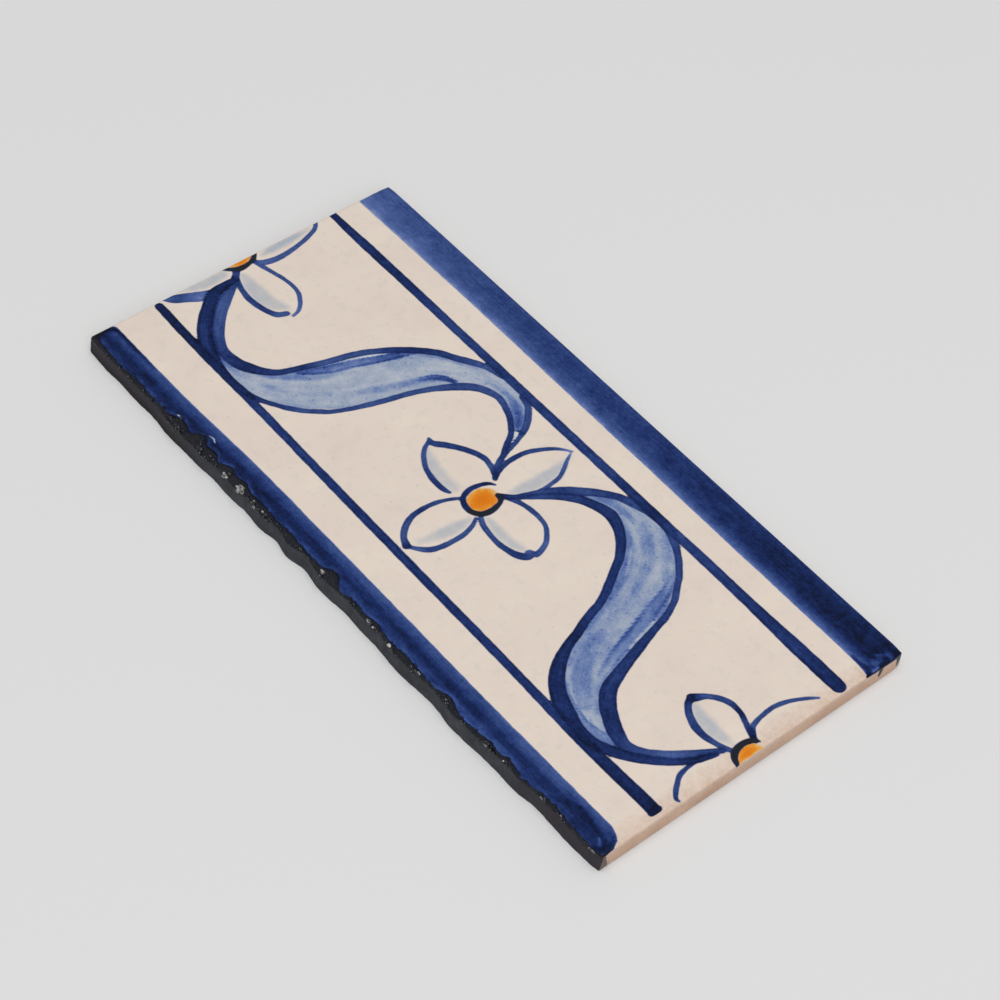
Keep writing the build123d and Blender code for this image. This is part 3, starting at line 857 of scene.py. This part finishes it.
# painted highlights: two small pale glints at the bites of the broken lip
painted_lip_glints = Coat()
painted_lip_glints.brush(
    [(-54.3, -44.3, 0.25, 1), (-53.4, -43.7, 0.4, 1), (-52.2, -43.6, 0.45, 1), (-51, -44.1, 0.25, 1)],
    [(-64.6, -46.1, 0.2, 1), (-63.6, -46, 0.4, 1), (-62.6, -46.3, 0.2, 1)],
    wet_edge=0,
)
for name, values in {
    "ink_edge": ink.depth, "ink_density": ink.density, "ink_flow": ink.flow,
    "wash_edge": wash.depth, "wash_density": wash.density, "wash_flow": wash.flow,
    "petal_shade": petal_shade.density, "yolk_edge": yolk_depth, "ring_edge": ring.depth,
    "bare": bare, "lip_gap": np.clip(lip_gap, -3, 6), "painted_rim_light": painted_rim_light,
    "soot_edge": soot_film.depth, "below": below, "painted_lip_glints": painted_lip_glints.depth,
}.items():
    write(name, values)
print("bare clay on", round(float((bare > 0.5).mean()) * 100, 1), "% of the corners")

# %% [markdown]
# ## A map for the bake
# A model that leaves Blender carries its colours as a picture. The face and its sides are already
# unrolled in the sheet coordinates, so that picture can be one flat map of them, with the back below.

# %% The map
spread = mesh.uv_layers.new(name="OFBake")
SHEET_WIDE, SHEET_DEEP = 216.0, 112.0    # the unrolled face and its sides, in mm
FACE_V, FACE_SHARE = 0.60, 0.78          # where the face lies in the picture, and its share of it
BACK_V, BACK_SHARE = 0.10, 0.17
loop_vertex = read(mesh.loops, "vertex_index", kind=np.int32)
face_slot = read(mesh.polygons, "material_index", kind=np.int32)
on_back = np.repeat(face_slot, read(mesh.polygons, "loop_total", kind=np.int32)) == CLAY
flat = glaze_sheet[loop_vertex]
solid_place = read(mesh.vertices, "co", 3)[loop_vertex] / MM
u = 0.5 + np.where(on_back, solid_place[:, 0], flat[:, 0]) / SHEET_WIDE
v = np.where(
    on_back,
    BACK_V + solid_place[:, 1] / SHEET_DEEP * BACK_SHARE,
    FACE_V + flat[:, 1] / SHEET_DEEP * FACE_SHARE,
)
spread.data.foreach_set("uv", np.stack([u, v], axis=1).astype(np.float32).ravel())
print("map from", u.min().round(3), v.min().round(3), "to", u.max().round(3), v.max().round(3))

# %% [markdown]
# ## Materials
# Colours are written as on a screen, and one function turns them into the linear values that
# Blender works in. One more function adds a node with its settings and its links, and gives back
# the output that the next node needs. Everything else is built from those two.

# %% Helpers for materials
def linear(hex_colour):
    """A screen colour such as #dbcec1 as Blender's linear red, green, blue and alpha."""
    parts = [int(hex_colour[i:i + 2], 16) / 255 for i in (1, 3, 5)]
    return [c / 12.92 if c <= 0.04045 else ((c + 0.055) / 1.055) ** 2.4 for c in parts] + [1.0]


def add(tree, kind, inputs=None, output=0, stops=(), **settings):
    """Adds a node with its settings and links, and gives back one of its outputs.

    kind is Blender's name for the node, without the ShaderNode in front. inputs maps an input's
    name or number to a value, or to the output that feeds it. stops are the places and screen
    colours of a colour ramp.
    """
    made = tree.nodes.new("ShaderNode" + kind)
    for name, value in settings.items():
        setattr(made, name, value)
    for name, value in (inputs or {}).items():
        if isinstance(value, bpy.types.NodeSocket):
            tree.links.new(value, made.inputs[name])
        else:
            made.inputs[name].default_value = value
    for index, (place, colour) in enumerate(stops):
        if index >= len(made.color_ramp.elements):
            made.color_ramp.elements.new(place)
        made.color_ramp.elements[index].position = place
        made.color_ramp.elements[index].color = linear(colour)
    return made.outputs[output] if made.outputs else None


def new_material(name):
    """A material with an empty tree, and the place of each point on the tile in metres."""
    material = bpy.data.materials.new(name)
    material.use_nodes = True
    tree = material.node_tree
    tree.nodes.clear()
    return material, tree, add(tree, "TexCoord", output="Object")


def finished(tree, surface, height=None):
    """Closes a material: its one shader, with the bumps of a height in mm, and its output."""
    if height is not None:
        bumps = {"Height": height, "Strength": 1.0, "Distance": MM}
        surface["Normal"] = add(tree, "Bump", bumps)
    shader = add(tree, "BsdfPrincipled", surface)
    add(tree, "OutputMaterial", {"Surface": shader})
    print(len(tree.nodes), "nodes")


def mottled(tree, place, tone, patches):
    """Makes a tone uneven. Each patch is its size in mm and how far it swings the tone."""
    for size, swing in patches:
        noise_here = add(tree, "TexNoise", {"Vector": place, "Scale": 1 / (size * MM), "Detail": 3.0})
        change = add(tree, "MapRange", {"Value": noise_here, "From Min": 0.3, "From Max": 0.7,
                                        "To Min": -swing, "To Max": swing})
        tone = add(tree, "Math", {0: tone, 1: change}, operation="ADD")
    return tone


def clay_colour(tree, place):
    """Fired clay: a sandy mass with darker grog grains of about half a millimetre."""
    sand = add(tree, "TexNoise", {"Vector": place, "Scale": 1 / (9.0 * MM), "Detail": 5.0})
    mass = add(tree, "ValToRGB", {"Fac": sand}, stops=[(0.30, "#bf9e88"), (0.72, "#d3b39c")])
    grain = add(tree, "TexVoronoi", {"Vector": place, "Scale": 1 / (1.1 * MM)})
    spots = add(tree, "MapRange", {"Value": grain, "From Min": 0.10, "From Max": 0.26,
                                   "To Min": 0.34, "To Max": 0.0})
    return add(tree, "Mix", {"Factor": spots, 6: mass, 7: linear("#8a6a58")}, 2, data_type="RGBA")


print("middle grey #808080 is", round(linear("#808080")[0], 3), "in linear light")

# %% [markdown]
# ## Painted glaze
# The face is a tin glaze, opaque and cream, painted with cobalt that sank into it in the fire. That
# gives soft pools of dark blue, a fine grain of pigment, and edges that are clean but never sharp.
# The shader lays the coats in the painter's order, and reads where each one is from the mesh.

# %% The cream ground
glaze, tree, place = new_material("painted_tin_glaze")
ground = add(tree, "TexNoise", {"Vector": place, "Scale": 1 / (11.0 * MM), "Detail": 4.0})
colour = add(tree, "ValToRGB", {"Fac": ground}, stops=[(0.30, "#dacbbf"), (0.70, "#dfd2c5")])
pits = add(tree, "TexVoronoi", {"Vector": place, "Scale": 1 / (4.8 * MM)})
pits = add(tree, "MapRange", {"Value": pits, "From Min": 0.075, "From Max": 0.03, "To Max": 0.35})

shade = add(tree, "Attribute", output="Fac", attribute_name="petal_shade")
shade = mottled(tree, place, shade, [(3.0, 0.10), (1.0, 0.06)])
print("ground:", len(tree.nodes), "nodes so far")

# %% Where each coat ends
wander_noise = add(tree, "TexNoise", {"Vector": place, "Scale": 1 / (2.4 * MM), "Detail": 2.0})
wander = add(tree, "MapRange", {"Value": wander_noise, "To Min": -0.18, "To Max": 0.18})


def coat_cover(name, outer, inner):
    """How fully one coat covers, from 0 to 1, read from the depth in mm that the mesh holds."""
    depth = add(tree, "Attribute", output="Fac", attribute_name=name)
    depth = add(tree, "Math", {0: depth, 1: wander}, operation="ADD")
    return add(tree, "MapRange", {"Value": depth, "From Min": outer, "From Max": inner},
               interpolation_type="SMOOTHSTEP")


def brushed_tone(coat, streaks, patches):
    """How dense the cobalt of one coat is: what the mesh holds, bristle streaks and pigment grain."""
    flow = add(tree, "Attribute", output="Vector", attribute_name=coat + "_flow")
    flow = add(tree, "VectorMath", {0: flow, 1: (0.11, 1.7, 1.0)}, operation="MULTIPLY")
    streak = add(tree, "TexNoise", {"Vector": flow, "Scale": 1.0, "Detail": 3.0, "Roughness": 0.6})
    streak = add(tree, "MapRange", {"Value": streak, "To Min": -streaks, "To Max": streaks})
    tone = add(tree, "Attribute", output="Fac", attribute_name=coat + "_density")
    tone = add(tree, "Math", {0: tone, 1: streak}, operation="ADD")
    return mottled(tree, place, tone, patches)


# %% The washes and the orange centres
tone = brushed_tone("wash", 0.20, [(3.4, 0.06), (0.9, 0.03), (0.45, 0.045)])
specks = add(tree, "TexVoronoi", {"Vector": place, "Scale": 1 / (2.1 * MM)})
specks = add(tree, "MapRange", {"Value": specks, "From Min": 0.22, "From Max": 0.05,
                                "To Min": 0.03, "To Max": 0.20})
tone = add(tree, "Math", {0: tone, 1: specks}, operation="ADD")
wash_colour = add(tree, "ValToRGB", {"Fac": tone}, stops=[
    (0.05, "#c8cacd"), (0.22, "#b2b8c2"), (0.42, "#94a0b6"), (0.60, "#6c80ac"), (0.80, "#3d5593"),
    (0.95, "#1c316a")])
wash_cover = coat_cover("wash_edge", -0.35, 0.55)

yolk = add(tree, "Attribute", output="Fac", attribute_name="yolk_edge")
yolk = mottled(tree, place, yolk, [(2.4, 0.7), (0.8, 0.3)])
yolk = add(tree, "MapRange", {"Value": yolk, "From Min": 0.0, "From Max": 3.0})
yolk_colour = add(tree, "ValToRGB", {"Fac": yolk}, stops=[
    (0.0, "#d2b07c"), (0.16, "#dc9c42"), (0.45, "#db8521"), (1.0, "#d6740e")])
yolk_cover = coat_cover("yolk_edge", -0.2, 0.5)
print("washes and centres:", len(tree.nodes), "nodes so far")

# %% The dark cobalt
tone = brushed_tone("ink", 0.11, [(4.0, 0.03), (1.3, 0.035), (0.5, 0.04)])
ink_colour = add(tree, "ValToRGB", {"Fac": tone}, stops=[
    (0.30, "#8a97b6"), (0.50, "#5368a0"), (0.60, "#425890"), (0.70, "#31477d"), (0.80, "#1f346b"),
    (0.88, "#122556"), (0.95, "#0a1a42"), (1.0, "#060f2c")])
ring_cover = coat_cover("ring_edge", -0.1, 0.4)
ring_cover = add(tree, "Math", {0: ring_cover, 1: 0.88}, operation="MULTIPLY")
ink_colour = add(tree, "Mix", {"Factor": ring_cover, 6: ink_colour, 7: linear("#1e2321")}, 2,
                 data_type="RGBA")
ink_cover = coat_cover("ink_edge", -0.20, 0.16)
print("dark cobalt:", len(tree.nodes), "nodes so far")

# %% The melted rim along the break, and its painted highlights
# painted highlight: a lighter blue line just inside the broken lip, where the swollen glaze catches the
# light
gap = add(tree, "Attribute", output="Fac", attribute_name="lip_gap")
gap = mottled(tree, place, gap, [(2.4, 0.34), (0.8, 0.22)])
rim_highlight = add(tree, "MapRange", {"Value": gap, "From Min": 1.25, "From Max": 0.45},
          interpolation_type="SMOOTHSTEP")
strength = add(tree, "Attribute", output="Fac", attribute_name="painted_rim_light")
strength = mottled(tree, place, strength, [(3.6, 0.30), (1.2, 0.15)])
rim_highlight = add(tree, "Math", {0: rim_highlight, 1: strength}, operation="MULTIPLY", use_clamp=True)
rim_highlight = add(tree, "Math", {0: rim_highlight, 1: ink_cover}, operation="MULTIPLY")

fused = add(tree, "MapRange", {"Value": gap, "From Min": 0.30, "From Max": -0.10},
            interpolation_type="SMOOTHSTEP")
sooty = coat_cover("soot_edge", -0.1, 0.35)
sooty = add(tree, "Math", {0: sooty, 1: fused}, operation="MAXIMUM")
sooty = add(tree, "Math", {0: sooty, 1: 0.9}, operation="MULTIPLY")

# painted highlight: the pale glints laid along the lip
glint = coat_cover("painted_lip_glints", -0.15, 0.2)
print("melted rim:", len(tree.nodes), "nodes so far")

# %% Bare clay at the thin edge, and the shine
painted = add(tree, "Math", {0: ink_cover, 1: yolk_cover}, operation="MAXIMUM")
stained = add(tree, "Math", {0: sooty, 1: 0.94}, operation="MULTIPLY")
painted = add(tree, "Math", {0: painted, 1: stained}, operation="MAXIMUM")
unpainted = add(tree, "MapRange", {"Value": painted, "To Min": 1.0, "To Max": 0.0})
thin = add(tree, "Attribute", output="Fac", attribute_name="bare")
thin = mottled(tree, place, thin, [(0.9, 0.10)])
thin = add(tree, "MapRange", {"Value": thin, "From Min": 0.06, "From Max": 0.95},
           interpolation_type="SMOOTHSTEP")
thin = add(tree, "Math", {0: thin, 1: unpainted}, operation="MULTIPLY")

coats = [
    (pits, linear("#a99c92")), (shade, linear("#a0aab6")), (wash_cover, wash_colour),
    (yolk_cover, yolk_colour), (ink_cover, ink_colour), (rim_highlight, linear("#3b59a2")),
    (sooty, linear("#0d0f18")), (glint, linear("#c4cbdc")), (thin, clay_colour(tree, place)),
]
for cover, coat in coats:
    colour = add(tree, "Mix", {"Factor": cover, 6: colour, 7: coat}, 2, data_type="RGBA")

gloss = add(tree, "MapRange", {"Value": ink_cover, "To Min": 0.40, "To Max": 0.30})
dull = add(tree, "Math", {0: thin, 1: 0.45}, operation="MULTIPLY")
gloss = add(tree, "Math", {0: gloss, 1: dull}, operation="ADD")
gloss = mottled(tree, place, gloss, [(0.5, 0.04)])

# %% The relief of the glaze
height = mottled(tree, place, ink_cover, [(7.0, 1.6), (2.2, 0.4)])
height = add(tree, "Math", {0: height, 1: 0.012}, operation="MULTIPLY")
bead = add(tree, "MapRange", {"Value": gap, "From Min": 1.4, "From Max": 0.6, "To Max": 0.14},
           interpolation_type="SMOOTHSTEP")
height = add(tree, "Math", {0: height, 1: bead}, operation="ADD")
rough_clay = add(tree, "TexNoise", {"Vector": place, "Scale": 1 / (0.35 * MM), "Detail": 3.0})
rough_clay = add(tree, "Math", {0: rough_clay, 1: thin}, operation="MULTIPLY")
rough_clay = add(tree, "Math", {0: rough_clay, 1: 0.05}, operation="MULTIPLY")
height = add(tree, "Math", {0: height, 1: rough_clay}, operation="ADD")
finished(tree, {"Base Color": colour, "Roughness": gloss, "IOR": 1.52, "Specular IOR Level": 0.12}, height)

# %% [markdown]
# ## Bare clay and the blackened break
# The back is earthenware as it left the press. The snapped side is the same clay, but soot and old
# mortar have darkened it almost to black. Just under the lip the glaze ran into it and melted to a
# black glass, and towards the far end the black turns brownish. Near the far end the side also has
# a painted shade that darkens it towards the foot, where it curves under.

# %% Fired clay
clay, tree, place = new_material("pressed_earthenware")
grit = add(tree, "TexNoise", {"Vector": place, "Scale": 1 / (2.4 * MM), "Detail": 6.0,
                              "Roughness": 0.65})
grit = add(tree, "Math", {0: grit, 1: 0.18}, operation="MULTIPLY")
finished(tree, {"Base Color": clay_colour(tree, place), "Roughness": 0.88, "Specular IOR Level": 0.3}, grit)

# %% The blackened break
soot, tree, place = new_material("sooted_earthenware")
patchy = add(tree, "TexNoise", {"Vector": place, "Scale": 1 / (3.5 * MM), "Detail": 5.0,
                                "Roughness": 0.62})
colour = add(tree, "ValToRGB", {"Fac": patchy}, stops=[
    (0.30, "#2f3237"), (0.46, "#383b41"), (0.58, "#3f4248"), (0.74, "#4a4b4f")])
along = add(tree, "SeparateXYZ", {"Vector": place}, output="X")
far_part = add(tree, "MapRange", {"Value": along, "From Min": -0.044, "From Max": -0.066})
near_part = add(tree, "MapRange", {"Value": along, "From Min": 0.064, "From Max": 0.084})
browner = add(tree, "Math", {0: far_part, 1: near_part}, operation="MAXIMUM")
browner = add(tree, "Math", {0: browner, 1: 0.92}, operation="MULTIPLY")
down = add(tree, "Attribute", output="Fac", attribute_name="below")
# painted shade: towards the far end the side turns darker near the foot, where it curves under
painted_foot_shade = add(tree, "MapRange", {"Value": down, "From Min": 2.6, "From Max": 4.8, "To Max": 0.7})
painted_foot_shade = add(tree, "Math", {0: painted_foot_shade, 1: far_part}, operation="MULTIPLY")

ragged_down = mottled(tree, place, down, [(9.0, 0.5), (2.6, 0.4), (0.9, 0.25)])
fused = add(tree, "MapRange", {"Value": ragged_down, "From Min": 1.75, "From Max": 1.05},
            interpolation_type="SMOOTHSTEP")
black = add(tree, "Math", {0: fused, 1: 0.9}, operation="MULTIPLY")
lumps = add(tree, "TexNoise", {"Vector": place, "Scale": 1 / (0.9 * MM), "Detail": 3.0, "Roughness": 0.7})
lumps = add(tree, "MapRange", {"Value": lumps, "From Min": 0.60, "From Max": 0.76, "To Max": 0.20})
lumps = add(tree, "Math", {0: lumps, 1: fused}, operation="MULTIPLY")
stains = [
    (browner, linear("#373339")), (painted_foot_shade, linear("#1a181b")), (black, linear("#080b18")),
    (lumps, linear("#53525c")),
]
for cover, stain in stains:
    colour = add(tree, "Mix", {"Factor": cover, 6: colour, 7: stain}, 2, data_type="RGBA")
shine = add(tree, "MapRange", {"Value": fused, "To Min": 0.80, "To Max": 0.34})
grit = add(tree, "TexNoise", {"Vector": place, "Scale": 1 / (0.8 * MM), "Detail": 5.0, "Roughness": 0.7})
depth = add(tree, "MapRange", {"Value": fused, "To Min": 0.10, "To Max": 0.50})
grit = add(tree, "Math", {0: grit, 1: depth}, operation="MULTIPLY")
finished(tree, {"Base Color": colour, "Roughness": shine, "Specular IOR Level": 0.25}, grit)

# %% [markdown]
# ## Crumbs on the ledge
# Where the tile was snapped, molten-looking crumbs of glaze and chips of pale clay cling to the
# ledge under the lip. Each crumb is a small ball that noise has made uneven, half sunk in the clay.
# They lie in the clusters that the photograph shows.

# %% The clinging crumbs
random.seed(7)
# place along the tile, spread, how many black crumbs, how many clay chips, the largest of both in mm
CLUSTERS = [
    (-94, 5, 6, 0, 0.7), (-84, 4, 6, 0, 0.8), (-74, 4, 6, 0, 0.8), (-64.6, 1.4, 6, 0, 1.2),
    (-61.4, 2.4, 8, 0, 1.3), (-53, 2.4, 8, 0, 1.5), (-49, 1.4, 5, 0, 1.2), (-46, 1.2, 4, 0, 1),
    (-41.4, 0.7, 6, 3, 2), (-35.8, 0.4, 4, 3, 2.3), (-30.6, 2.6, 8, 3, 1), (-26, 3, 9, 2, 1),
    (-20, 3, 6, 0, 0.8), (-10, 4, 9, 1, 0.9), (-2.6, 0.7, 3, 3, 1.3), (9, 1.6, 6, 0, 0.9),
    (17.6, 1.8, 8, 2, 1.1), (25, 2.6, 9, 1, 1.1), (35, 2, 10, 1, 1.2), (45, 1.8, 8, 1, 1.1),
    (52.6, 1.4, 6, 1, 1), (60, 2.8, 10, 1, 1.1), (67.4, 1.2, 5, 1, 0.9), (79.6, 0.8, 3, 2, 1),
    (86, 1.6, 5, 1, 0.9), (97, 1.4, 4, 2, 1),
]


def add_crumb(target, x, depth_below, size, slot):
    """One crumb, half sunk in the ledge at this place."""
    y = snapped_y(x, TOP - depth_below) - 0.1
    middle = Vector((x, y, TOP - depth_below)) * MM
    grown = bmesh.ops.create_icosphere(target, subdivisions=2, radius=size / 2 * MM)["verts"]
    stretch = Vector((random.uniform(0.8, 1.5), random.uniform(0.7, 1.0), random.uniform(0.6, 0.95)))
    seed = random.uniform(0, 90)
    for v in grown:
        uneven = 1 + 0.5 * noise.noise(v.co.normalized() * 1.4 + Vector((seed, 0, 0)))
        v.co = middle + v.co * stretch * uneven
    for f in {f for v in grown for f in v.link_faces}:
        f.material_index = slot
        f.smooth = slot == 0


crumb_bm = bmesh.new()
crumb_count = 0
for middle_x, spread_x, black, pale_chips, largest in CLUSTERS:
    for kind, count in ((0, black), (1, pale_chips)):
        for _ in range(count):
            x = random.gauss(middle_x, spread_x / 2)
            size = random.uniform(0.45 * largest, largest)
            add_crumb(crumb_bm, max(-98, min(98.5, x)), random.uniform(0.45, 1.15), size, kind)
            crumb_count += 1
crumbs = mesh_object("ledge_crumbs", crumb_bm)
print(crumb_count, "crumbs,", len(crumbs.data.polygons), "faces")

# %% Glassy black glaze and chipped clay
glassy, tree, place = new_material("fused_black_glaze")
cloudy = add(tree, "TexNoise", {"Vector": place, "Scale": 1 / (1.2 * MM), "Detail": 3.0})
colour = add(tree, "ValToRGB", {"Fac": cloudy}, stops=[
    (0.40, "#0b0d14"), (0.62, "#191c26"), (0.75, "#3d3f49")])
finished(tree, {"Base Color": colour, "Roughness": 0.12, "IOR": 1.52})

chip_clay, tree, place = new_material("chipped_clay")
cloudy = add(tree, "TexNoise", {"Vector": place, "Scale": 1 / (0.8 * MM), "Detail": 4.0})
colour = add(tree, "ValToRGB", {"Fac": cloudy}, stops=[
    (0.36, "#29292c"), (0.50, "#6e6c6c"), (0.64, "#b9b7b5")])
finished(tree, {"Base Color": colour, "Roughness": 0.85})
for material in (glassy, chip_clay):
    crumbs.data.materials.append(material)
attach(crumbs, "root")

# %% Dressing the tile
for material in (glaze, clay, soot):
    mesh.materials.append(material)
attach(tile, "root")
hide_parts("tile")
print("materials:", [m.name for m in mesh.materials])

# %% [markdown]
# ## Floor and light
# The photograph was taken on a plain pale ground, in light so soft that the tile hardly has a
# shadow. An even sky and a wide lamp above do most of the work, and a weaker lamp fills one side.

# %% The floor
floor_bm = bmesh.new()
bmesh.ops.create_grid(floor_bm, x_segments=1, y_segments=1, size=4.0)
floor = mesh_object("floor", floor_bm)
paper, tree, place = new_material("matt_paper_ground")
finished(tree, {"Base Color": linear("#dbdbdb"), "Roughness": 0.95, "Specular IOR Level": 0.0})
floor.data.materials.append(paper)

# %% The light
SKY = 0.38                # share of the light that comes evenly from everywhere
world = bpy.data.worlds.new("sky")
bpy.context.scene.world = world
world.use_nodes = True
world.node_tree.nodes.clear()
sky = add(world.node_tree, "Background", {"Color": (1, 1, 1, 1), "Strength": SKY})
add(world.node_tree, "OutputWorld", {"Surface": sky})


def soft_lamp(name, place, size, share):
    """A square lamp that looks at the tile, and gives this share of the light on the floor."""
    lamp = bpy.data.lights.new(name, "AREA")
    lamp.size = size
    away = Vector(place).length
    steepness = place[2] / away
    lamp.energy = share * math.pi * math.pi * away**2 / max(steepness, 0.2)
    made = in_scene(name, lamp)
    made.location = place
    made.rotation_euler = (-Vector(place)).to_track_quat("-Z", "Y").to_euler()


soft_lamp("window", (0.4, -0.2, 3.2), 2.6, 0.585)
soft_lamp("fill", (2.0, -1.0, 1.9), 2.0, 0.16)
bpy.context.scene.view_settings.view_transform = "Standard"
